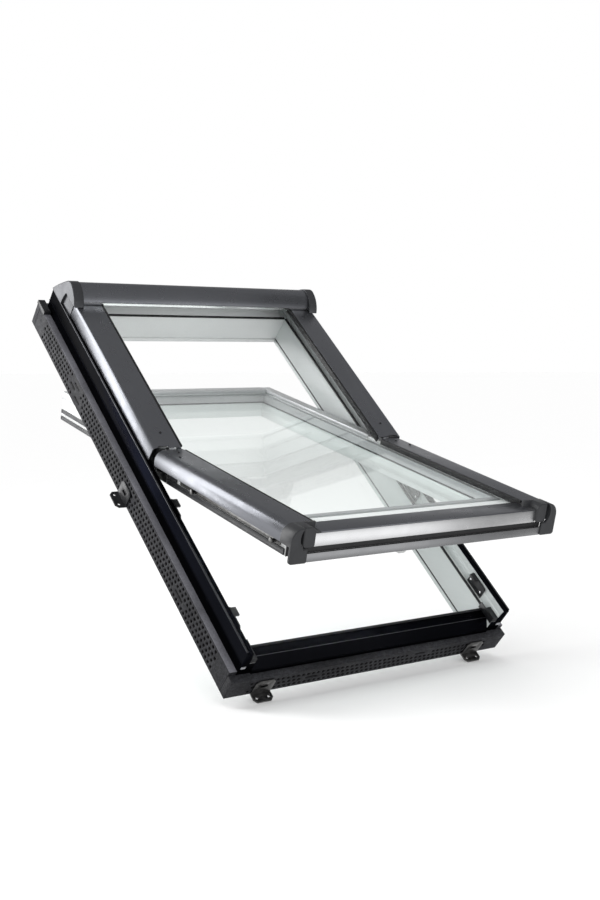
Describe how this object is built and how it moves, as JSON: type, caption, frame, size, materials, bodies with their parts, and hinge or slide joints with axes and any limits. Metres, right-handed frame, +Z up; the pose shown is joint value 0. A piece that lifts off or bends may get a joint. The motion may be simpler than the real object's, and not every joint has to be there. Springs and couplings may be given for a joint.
{
  "type": "centre-pivot roof window",
  "caption": "Centre-pivot roof skylight: insulated frame with hood, covers and brackets, and a glazed sash that swings about its middle, ajar.",
  "frame": {"origin": "middle of the sill's lower edge on the room side of the frame, in the batten plane", "axes": "+X to the right across the window seen from outside, +Y horizontally in under the roof slope, +Z up; the window lies in a roof slope of 41 degrees that rises along +Y"},
  "size_m": [0.832, 1.1607, 0.914],
  "materials": {
    "white_profile": "smooth white extruded plastic",
    "insulation_foam": "black moulded foam with dimples",
    "dark_cladding": "anthracite coated sheet, satin",
    "pale_cladding": "pale grey coated sheet, satin",
    "bright_aluminium": "bright brushed",
    "seal_rubber": "black soft rubber",
    "dark_plastic": "anthracite moulded plastic",
    "pane_glass": "clear float glass with a faint green cast",
    "spacer_bar": "dull grey spacer bar",
    "zinc_steel": "zinc plated steel",
    "handle_white": "smooth white moulded plastic"
  },
  "bodies": {
    "frame": {"bracket_head_left": "zinc_steel", "bracket_head_right": "zinc_steel", "bracket_left": "zinc_steel", "bracket_right": "zinc_steel", "bracket_sill_left": "zinc_steel", "bracket_sill_right": "zinc_steel", "cover_carrier_left": "dark_plastic", "cover_carrier_right": "dark_plastic", "frame_head": "white_profile", "frame_hinge_left": "zinc_steel", "frame_hinge_right": "zinc_steel", "frame_left_jamb": "white_profile", "frame_right_jamb": "white_profile", "frame_seal": "seal_rubber", "frame_sill": "white_profile", "hood": "dark_cladding", "hood_cap_left": "dark_plastic", "hood_cap_right": "dark_plastic", "hood_seal_rail": "bright_aluminium", "insulation_head": "insulation_foam", "insulation_left": "insulation_foam", "insulation_right": "insulation_foam", "insulation_sill": "insulation_foam", "lock_keeps_left": "zinc_steel", "lock_keeps_right": "zinc_steel", "side_cladding_left": "dark_cladding", "side_cladding_right": "dark_cladding", "sill_cladding": "dark_cladding", "upper_cover_left": "dark_cladding", "upper_cover_right": "dark_cladding", "upper_cover_seal_left": "seal_rubber", "upper_cover_seal_right": "seal_rubber"},
    "sash": {"sash_left_stile": "white_profile", "sash_right_stile": "white_profile", "sash_top_rail": "white_profile", "sash_bottom_rail": "white_profile", "inner_pane": "pane_glass", "outer_pane": "pane_glass", "glass_spacer": "spacer_bar", "glazing_tape": "seal_rubber", "sash_side_rail_left": "dark_plastic", "sash_side_rail_right": "dark_plastic", "sash_cover_left": "dark_cladding", "sash_cover_right": "dark_cladding", "sash_cover_seal_left": "seal_rubber", "sash_cover_seal_right": "seal_rubber", "sash_bottom_cover": "dark_cladding", "sash_front_strip": "bright_aluminium", "sash_apron": "dark_cladding", "sash_end_cap_left": "dark_plastic", "sash_end_cap_right": "dark_plastic", "sash_cladding_left": "pale_cladding", "sash_cladding_right": "pale_cladding", "sash_cladding_top": "pale_cladding", "sash_hinge_left": "zinc_steel", "sash_hinge_right": "zinc_steel", "handle_rosette": "handle_white"},
    "handle": {"handle_lever": "handle_white"},
    "lock_bar_left": {"lock_bar_left": "zinc_steel"},
    "lock_bar_right": {"lock_bar_right": "zinc_steel"}
  },
  "joints": [
    {"name": "sash_pivot", "type": "hinge", "parent": "frame", "child": "sash", "pos_m": [0, 0.31234, 0.48285], "axis": [-1, 0, 0], "range_deg": [-28, 102]},
    {"name": "handle_turn", "type": "hinge", "parent": "sash", "child": "handle", "pos_m": [0, -0.1196, 0.29333], "axis": [0, -0.225, 0.9744], "range_deg": [0, 90]},
    {"name": "lock_slide_left", "type": "slide", "parent": "sash", "child": "lock_bar_left", "axis": [0, 0.9744, 0.225], "range_m": [0, 0.014]},
    {"name": "lock_slide_right", "type": "slide", "parent": "sash", "child": "lock_bar_right", "axis": [0, 0.9744, 0.225], "range_m": [0, 0.014]}
  ],
  "couplings": [
    {"joint": "lock_slide_left", "follows": "handle_turn", "m_per_rad": 0.0089063},
    {"joint": "lock_slide_right", "follows": "handle_turn", "m_per_rad": 0.0089063}
  ]
}
